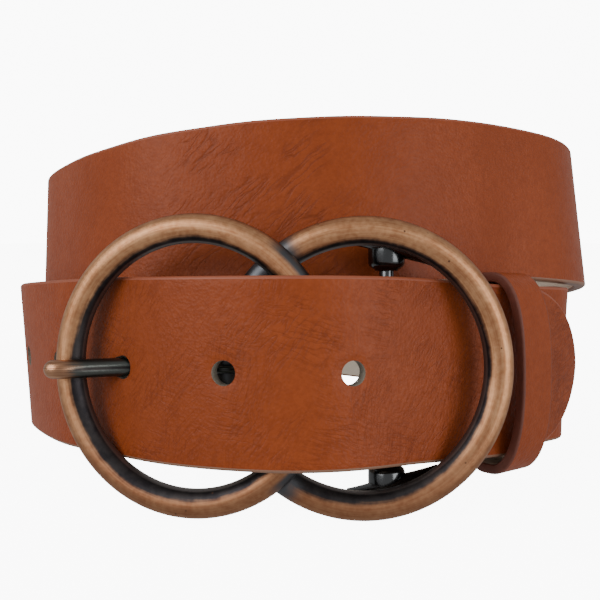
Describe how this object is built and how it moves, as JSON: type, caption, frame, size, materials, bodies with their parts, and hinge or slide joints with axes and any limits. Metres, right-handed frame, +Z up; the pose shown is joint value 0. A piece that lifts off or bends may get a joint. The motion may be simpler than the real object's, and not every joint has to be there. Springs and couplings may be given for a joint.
{
  "type": "double ring belt",
  "caption": "Leather belt wound in a standing coil, its tongue fastened through two overlapping ring rims with a prong and a leather keeper.",
  "frame": {"origin": "centre of the bounding box's base, on the ground the coil stands on", "axes": "+X towards the strap's free end as the buckle is seen from the front, +Y from the buckle to the back of the coil, +Z up"},
  "size_m": [0.1626, 0.1652, 0.0847],
  "materials": {
    "tan_leather": "fine grained, satin",
    "keeper_leather": "fine grained, satin",
    "antique_copper": "antique copper, rubbed",
    "black_bar": "black, glossy",
    "prong_copper": "antique copper, rubbed"
  },
  "bodies": {
    "root": {"strap": "tan_leather", "keeper_loop": "keeper_leather", "buckle_frame": "antique_copper", "buckle_bar": "black_bar", "prong": "prong_copper"}
  },
  "joints": []
}
